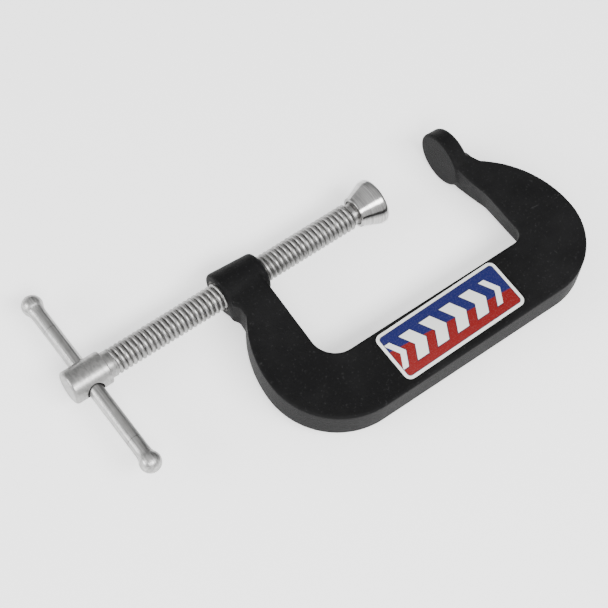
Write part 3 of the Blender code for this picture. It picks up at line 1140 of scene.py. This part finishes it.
    def finish(self, obj: bpy.types.Object, coat: bpy.types.Material, iron: bpy.types.Material) -> None:
        """Coat the casting and leave the bore bare.

        Args:
            obj: The casting.
            coat: Finish of the outside.
            iron: Finish of the bore.
        """
        Bench.smooth(obj, 38.0)
        self.dress(obj, coat, iron)
        limit = self.bore.crest + 0.0004

        def in_bore(middle: Vector) -> bool:
            """Tell whether a face lies in the bore."""
            inside = self.boss_back + 0.0001 < middle.x < self.boss_front - 0.0001
            return inside and math.hypot(middle.y, middle.z) < limit

        self.paint(obj, Bench.pick(obj, in_bore), 1)
        self.hand_over(obj, "cast_frame")


@dataclass
class ClampScrew(Piece):
    """The screw: head with its cross hole, shank, rolled thread and ball tip.

    Attributes:
        head_end: Place of the head's free end.
        shoulder: Place of the head's other end, where the neck begins.
        neck_end: Place where the neck meets the thread.
        thread_end: Place where the thread ends, near the pad.
        head_radius: Radius of the head.
        neck_radius: Radius of the neck.
        tip_radius: Radius of the bare neck behind the ball.
        ball_radius: Radius of the ball.
        ball_centre: Place of the ball's middle.
        bar_place: Place of the cross hole.
        hole_radius: Radius of the cross hole.
        bar_axis: Direction of the cross hole.
        thread: The rolled thread.
    """

    node: str = "screw"
    slot: str = "screw_steel"
    body: Body = Body.SCREW
    head_end: float = -0.1895
    shoulder: float = -0.1719
    neck_end: float = -0.1692
    thread_end: float = -0.0483
    head_radius: float = 0.0074
    neck_radius: float = 0.0059
    tip_radius: float = 0.0046
    ball_radius: float = 0.0059
    ball_centre: float = -0.04322
    bar_place: float = -0.1805
    hole_radius: float = 0.0041
    bar_axis: Vector = Vector((0.0, 1.0, 0.0))
    thread: Thread | None = None

    def shank(self) -> bpy.types.Object:
        """Build the turned core: head, neck, a core under the thread and the ball.

        Returns:
            The closed body.
        """
        root = self.thread.crest - self.thread.depth
        core = 0.6 * root
        corners = [
            (self.head_end, 0.0, 0.0),
            (self.head_end, self.head_radius, 0.0015),
            (self.shoulder, self.head_radius, 0.0005),
            (self.shoulder, self.neck_radius, 0.0003),
            (self.neck_end, self.neck_radius, 0.0),
            (self.neck_end + 0.0030, 0.97 * root, 0.0),
            (self.neck_end + 0.0030, core, 0.0),
            (self.thread_end - 0.0030, core, 0.0),
            (self.thread_end - 0.0030, self.tip_radius, 0.0),
        ]
        start = 180 - math.degrees(math.asin(self.tip_radius / self.ball_radius))
        ball = arc((self.ball_centre, 0.0), self.ball_radius, start, 0, 8.0)
        return Bench.turn("shank", rounded(corners) + ball, 72)

    def drill(self) -> bpy.types.Object:
        """Build the cutter of the cross hole.

        Returns:
            The closed body.
        """
        reach, radius = 1.4 * self.head_radius, self.hole_radius
        obj = Bench.turn("drill", [(-reach, 0.0), (-reach, radius), (reach, radius), (reach, 0.0)], 64)
        turn = self.bar_axis.to_track_quat("X", "Z").to_matrix().to_4x4()
        Bench.move(obj, Matrix.Translation((self.bar_place, 0.0, 0.0)) @ turn)
        return obj

    def sleeve(self) -> bpy.types.Object:
        """Build the envelope that gives the thread its chamfered ends.

        Returns:
            The closed body.
        """
        crest = self.thread.crest
        low = crest - self.thread.depth
        start, end = self.thread.start + 0.00005, self.thread.end - 0.00005
        corners = [
            (start, 0.0),
            (start, crest - 0.0003),
            (start + 0.0004, crest + 0.0003),
            (end - 0.0012, crest + 0.0003),
            (end, low - 0.0002),
            (end, 0.0),
        ]
        return Bench.turn("sleeve", corners, 72)

    def build(self) -> bpy.types.Object:
        """Turn the shank, drill it, soften its edges and roll the thread on it.

        Returns:
            The screw.
        """
        obj = self.shank()
        Bench.cut(obj, self.drill(), Cut.REMOVE)
        Bench.soften(obj, 0.00022, 3, 50.0)
        thread = self.thread.build("rolled_thread")
        Bench.cut(thread, self.sleeve(), Cut.KEEP_COMMON)
        Bench.gather(obj, thread)
        return obj

    def finish(
        self,
        obj: bpy.types.Object,
        turned: bpy.types.Material,
        rolled: bpy.types.Material,
        painted_shade_finish: bpy.types.Material,
    ) -> None:
        """Plate the screw.

        Args:
            obj: The screw.
            turned: Finish of the head.
            rolled: Finish of the thread and the neck.
            painted_shade_finish: Dark finish of the ball and its neck, painted shade.
        """
        Bench.smooth_turned(obj, 40.0)
        self.dress(obj, turned, rolled, painted_shade_finish)
        self.paint(obj, Bench.pick(obj, lambda middle: self.shoulder < middle.x < self.thread_end), 1)
        # Painted shade: the ball and its neck take the dark steel.
        self.paint(obj, Bench.pick(obj, lambda middle: middle.x >= self.thread_end + 0.0001), 2)
        self.hand_over(obj, "clamp_screw")


@dataclass
class SwivelPad(Piece):
    """The pad that turns and tilts on the screw's ball.

    Attributes:
        face: Place of the working face.
        back: Place of the collar's end.
        radius: Radius of the face.
        rim: Length of the plain rim behind the face.
        lip: Radius of the collar's opening.
        collar: Outer radius of the collar.
        ball_centre: Place of the socket's middle.
        socket: Radius of the socket.
    """

    node: str = "swivel_pad"
    slot: str = "pad_steel"
    body: Body = Body.PAD
    face: float = -0.0341
    back: float = -0.0461
    radius: float = 0.0102
    rim: float = 0.0035
    lip: float = 0.0056
    collar: float = 0.0070
    ball_centre: float = -0.04322
    socket: float = 0.0063

    def build(self) -> bpy.types.Object:
        """Turn the pad's outside, its face and its socket in one profile.

        Returns:
            The pad.
        """
        start = 180 - math.degrees(math.asin(self.lip / self.socket))
        inside = arc((self.ball_centre, 0.0), self.socket, 0, start, 8.0)
        outside = rounded(
            [
                (*inside[-1], 0.0),
                (self.back, self.lip + 0.0001, 0.00015),
                (self.back, self.collar, 0.00040),
                (self.back + 0.0011, self.collar, 0.0005),
                (self.face - self.rim, self.radius - 0.0001, 0.0030),
                (self.face, self.radius, 0.0016),
                (self.face, 0.0072, 0.0),
                (self.face - 0.00012, 0.0070, 0.0),
                (self.face - 0.00012, 0.0, 0.0),
            ],
            10.0,
        )
        return Bench.turn("pad", inside + outside[1:], 96)

    def finish(self, obj: bpy.types.Object, turned: bpy.types.Material, painted_shade_finish: bpy.types.Material) -> None:
        """Plate the pad, darken its socket with painted shade and hand it over.

        Args:
            obj: The pad.
            turned: Finish of the outside.
            painted_shade_finish: Dark finish of the socket, painted shade.
        """
        Bench.smooth_turned(obj, 35.0)
        self.dress(obj, turned, painted_shade_finish)

        def in_socket(middle: Vector) -> bool:
            """Tell whether a face lies on the socket's sphere."""
            place = middle - Vector((self.ball_centre, 0.0, 0.0))
            return place.length < self.socket + 0.00005

        # Painted shade: the socket takes the dark steel.
        self.paint(obj, Bench.pick(obj, in_socket), 1)
        self.hand_over(obj, "clamp_pad")


@dataclass
class SlidingBar(Piece):
    """The T bar: a drawn rod with upset ends that stop it in the head.

    Attributes:
        radius: Radius of the rod.
        half: Distance from the rod's middle to the middle of each ball end.
        ball: Radius of the ball ends.
        offset: How far the rod's middle lies along its axis from the screw's.
        place: Place of the cross hole along the screw.
        axis: Direction of the rod.
    """

    node: str = "t_bar"
    slot: str = "bar_steel"
    body: Body = Body.BAR
    radius: float = 0.0034
    half: float = 0.0431
    ball: float = 0.0047
    offset: float = -0.0025
    place: float = -0.1805
    axis: Vector = Vector((0.0, 1.0, 0.0))

    def end(self) -> list[Point2]:
        """Draw the outer half of one end, from the rod outwards.

        Returns:
            The profile's points.
        """
        neck = self.radius + 0.0003
        start = 180 - math.degrees(math.asin(neck / self.ball))
        swell = [(self.half - 0.0066, 0.0), (self.half - 0.0052, 0.00004), (self.half - 0.0040, 0.00012)]
        ball = arc((self.half, 0.0), self.ball, start - 3, 26, 8.0)
        flat = self.half + self.ball * math.cos(math.radians(26)) + 0.0002
        face = [(flat, 0.0014), (flat + 0.00005, 0.0)]
        return [(x, self.radius + rise) for x, rise in swell] + ball + face

    def build(self) -> bpy.types.Object:
        """Turn the bar and lay it in the head's hole.

        Returns:
            The bar.
        """
        outer = self.end()
        middle = [(share * 0.0040, self.radius) for share in range(-8, 9)]
        profile = [(-x, radius) for x, radius in reversed(outer)] + middle + outer
        obj = Bench.turn("bar", profile, 48)
        turn = self.axis.to_track_quat("X", "Z").to_matrix().to_4x4()
        shift = Matrix.Translation((self.offset, 0.0, 0.0))
        Bench.move(obj, Matrix.Translation((self.place, 0.0, 0.0)) @ turn @ shift)
        return obj

    def finish(self, obj: bpy.types.Object, drawn: bpy.types.Material) -> None:
        """Plate the bar and hand it over.

        Args:
            obj: The bar.
            drawn: Its finish.
        """
        Bench.smooth_turned(obj, 24.0)
        self.dress(obj, drawn)
        self.hand_over(obj, "sliding_bar")


@dataclass
class Label(Piece):
    """The printed film on the spine.

    Attributes:
        length: Length of the film.
        width: Its width.
        corner: Radius of its corners.
        turn: Its turn from the screw's direction.
    """

    node: str = "label"
    slot: str = "label_film"
    body: Body = Body.FRAME
    length: float = 0.0622
    width: float = 0.0235
    corner: float = 0.0030
    turn: float = math.radians(0.8)

    def centre(self) -> Vector:
        """Return the middle of the film's underside."""
        low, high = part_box(self.node)
        return Vector(((low.x + high.x) / 2, (low.y + high.y) / 2, low.z))

    def build(self) -> bpy.types.Object:
        """Cut the film with round corners and soft edges.

        Returns:
            The film.
        """
        low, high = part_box(self.node)
        bpy.ops.object.select_all(action="DESELECT")
        bpy.ops.mesh.primitive_plane_add(size=1.0)
        obj = bpy.context.object
        bpy.ops.object.mode_set(mode="EDIT")
        bpy.ops.mesh.select_all(action="SELECT")
        bpy.ops.transform.resize(value=(self.length, self.width, 1.0))
        bpy.ops.mesh.bevel(offset=self.corner, segments=12, affect="VERTICES", profile=0.5)
        bpy.ops.mesh.select_all(action="SELECT")
        bpy.ops.mesh.extrude_region_move(TRANSFORM_OT_translate={"value": (0.0, 0.0, high.z - low.z)})
        bpy.ops.mesh.select_all(action="SELECT")
        bpy.ops.mesh.normals_make_consistent(inside=False)
        bpy.ops.object.mode_set(mode="OBJECT")
        Bench.soften(obj, 0.00008, 2, 60.0)
        Bench.move(obj, Matrix.Translation(self.centre()) @ Matrix.Rotation(self.turn, 4, "Z"))
        return obj

    def finish(self, obj: bpy.types.Object) -> None:
        """Print the film and hand it over.

        Args:
            obj: The film.
        """
        Bench.smooth(obj, 35.0)
        printed = LabelPrint(tuple(self.centre()), self.turn, self.length, self.width, self.corner)
        self.dress(obj, printed.material())
        self.hand_over(obj, "printed_label")


# ---------------------------------------------------------------- studio


@dataclass
class Studio:
    """Pale floor, soft lights, surroundings that the steel reflects, and the camera.

    Attributes:
        lens: The camera's focal length in millimetres.
        sensor: Width of its sensor in millimetres.
        floor_drop: Gap between the clamp and the floor.
        floor_glow: Light that the floor gives off.
        brightest: Direction in which the room is brightest.
        room: Places from the room's dark side, 0, to its bright side, 1, each with its brightness.
    """

    lens: float = 112.39
    sensor: float = 36.0
    floor_drop: float = 0.0004
    floor_glow: float = 0.9
    brightest: tuple[float, float, float] = (-0.80, -0.60, 0.0)
    room: tuple[Point2, ...] = ((0.05, 0.30), (0.28, 0.90), (0.60, 1.05), (1.0, 1.10))

    def floor(self) -> None:
        """Lay a pale matt floor just under the clamp."""
        low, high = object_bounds()
        bpy.ops.object.select_all(action="DESELECT")
        bpy.ops.mesh.primitive_plane_add(size=6.0, location=(0.0, 0.0, low[2] - self.floor_drop))
        obj = bpy.context.object
        obj.name = "floor"
        shader = Shader("pale_floor")
        mottle = shader.noise(shader.place(), 9.0, 3.0)
        colour = shader.mix(mottle, (0.90, 0.90, 0.90), (0.93, 0.93, 0.93))
        glow = (self.floor_glow, self.floor_glow, self.floor_glow, 1.0)
        material = shader.dress(
            Base_Color=colour,
            Roughness=0.95,
            Specular_IOR_Level=0.1,
            Emission_Color=glow,
            Emission_Strength=1.0,
        )
        obj.data.materials.append(material)
        obj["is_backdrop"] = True

    def lamp(self, name: str, place: Sequence[float], size: tuple[float, float], power: float) -> None:
        """Hang a soft rectangular lamp that faces the clamp.

        Args:
            name: The lamp's name.
            place: Where it hangs.
            size: Its width and height.
            power: Its power in watts.
        """
        data = bpy.data.lights.new(name, "AREA")
        data.shape = "RECTANGLE"
        data.size, data.size_y = size
        data.energy = power
        lamp = bpy.data.objects.new(name, data)
        bpy.context.scene.collection.objects.link(lamp)
        target = Vector((-0.07, -0.02, 0.0))
        lamp.location = place
        lamp.rotation_euler = (target - Vector(place)).to_track_quat("-Z", "Y").to_euler()

    def surroundings(self) -> None:
        """Surround the clamp with a pale room that is darkest on the anvil's side."""
        world = bpy.data.worlds.new("room")
        bpy.context.scene.world = world
        world.use_nodes = True
        graph = Graph(world.node_tree)
        direction = graph.node("ShaderNodeTexCoord").outputs["Generated"]
        inputs = {0: direction, 1: self.brightest}
        facing = graph.node("ShaderNodeVectorMath", {"operation": "DOT_PRODUCT"}, inputs)
        share = Value(graph, facing.outputs["Value"]) * 0.5 + 0.5
        ramp = graph.node("ShaderNodeValToRGB", {}, {0: share})
        stops = ramp.color_ramp.elements
        while len(stops) < len(self.room):
            stops.new(1.0)
        for stop, (place, level) in zip(stops, self.room):
            stop.position, stop.color = place, (level, level, level, 1.0)
        graph.feed(graph.tree.nodes["Background"].inputs["Color"], ramp.outputs[0])

    def camera(self) -> None:
        """Place the camera."""
        data = bpy.data.cameras.new("camera")
        data.lens = self.lens
        data.sensor_width = self.sensor
        data.clip_start = 0.01
        camera = bpy.data.objects.new("camera", data)
        bpy.context.scene.collection.objects.link(camera)
        camera.matrix_world = Matrix(
            (
                (0.80521, 0.50645, -0.30845, -0.33032),
                (-0.59029, 0.73413, -0.33556, -0.28553),
                (0.05650, 0.45228, 0.89009, 0.69662),
                (0.0, 0.0, 0.0, 1.0),
            )
        )
        bpy.context.scene.camera = camera

    def build(self) -> None:
        """Set up the whole studio."""
        self.floor()
        self.lamp("key", (-0.10, -0.80, 0.98), (1.30, 0.40), 28.0)
        self.lamp("side", (-1.30, 0.30, 0.55), (0.8, 0.6), 14.0)
        self.surroundings()
        self.camera()


# ---------------------------------------------------------------- assembly


def bar_axis() -> Vector:
    """Return the T bar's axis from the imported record."""
    found = [joint for joint in frame["joints"] if joint["name"] == "tbar_slide"]
    return Vector(found[0]["axis"]).normalized()


def main() -> None:
    """Build, dress and report every piece, then the studio."""
    logging.basicConfig(level=logging.INFO, format="%(name)s %(message)s")
    pitch = 0.00225
    start = -0.1692
    rolled = Thread(
        start=start - 0.0004, end=-0.0483, crest=0.0060, depth=0.0011, pitch=pitch, phase=start, seam=0.00010
    )
    tapped = Thread(
        start=-0.1175, end=-0.0930, crest=0.0063, depth=0.0011, pitch=pitch, phase=start, samples=10
    )
    casting = Casting(bore=tapped)
    casting.finish(casting.build(), PowderCoat().material(), TappedIron().material())
    screw = ClampScrew(thread=rolled, bar_axis=bar_axis())
    turned_head = PlatedSteel(
        name="turned_head",
        bright=(0.36, 0.357, 0.35),
        dull=(0.24, 0.238, 0.235),
        roughness=(0.30, 0.44),
        grain=(900.0, 420.0, 420.0),
        depth=0.00001,
    )
    rolled_thread = PlatedSteel(
        name="rolled_thread",
        bright=(0.38, 0.377, 0.37),
        dull=(0.22, 0.218, 0.215),
        roughness=(0.32, 0.48),
        grain=(1400.0, 500.0, 500.0),
        depth=0.00002,
        # Painted shade towards the roots of the thread's grooves.
        groove=(0.0049, 0.0053),
        painted_groove_shade=0.05,
    )
    # Dark steel for the ball, its neck and the pad's socket: painted shade.
    painted_shade_steel = PlatedSteel(
        name="painted_shade_steel",
        bright=(0.16, 0.155, 0.15),
        dull=(0.07, 0.068, 0.066),
        roughness=(0.25, 0.40),
        grain=(900.0, 900.0, 900.0),
        depth=0.00002,
    )
    painted_shade_material = painted_shade_steel.material()
    screw.finish(screw.build(), turned_head.material(), rolled_thread.material(), painted_shade_material)
    pad = SwivelPad()
    turned_pad = PlatedSteel(
        name="turned_pad",
        bright=(0.50, 0.497, 0.49),
        dull=(0.28, 0.278, 0.275),
        roughness=(0.12, 0.24),
        grain=(3200.0, 60.0, 60.0),
        depth=0.00001,
    )
    pad.finish(pad.build(), turned_pad.material(), painted_shade_material)
    bar = SlidingBar(axis=bar_axis())
    drawn_bar = PlatedSteel(
        name="drawn_bar",
        bright=(0.50, 0.497, 0.49),
        dull=(0.24, 0.238, 0.235),
        roughness=(0.30, 0.46),
        grain=(30.0, 1500.0, 1500.0),
        depth=0.00003,
        rings=(bar.offset + bar.half - 0.0142, bar.offset - bar.half + 0.0113),
        turn=tuple(bar_axis().to_track_quat("X", "Z").to_euler()),
    )
    bar.finish(bar.build(), drawn_bar.material())
    label = Label()
    label.finish(label.build())
    Studio().build()


if __name__ == "__main__":
    main()
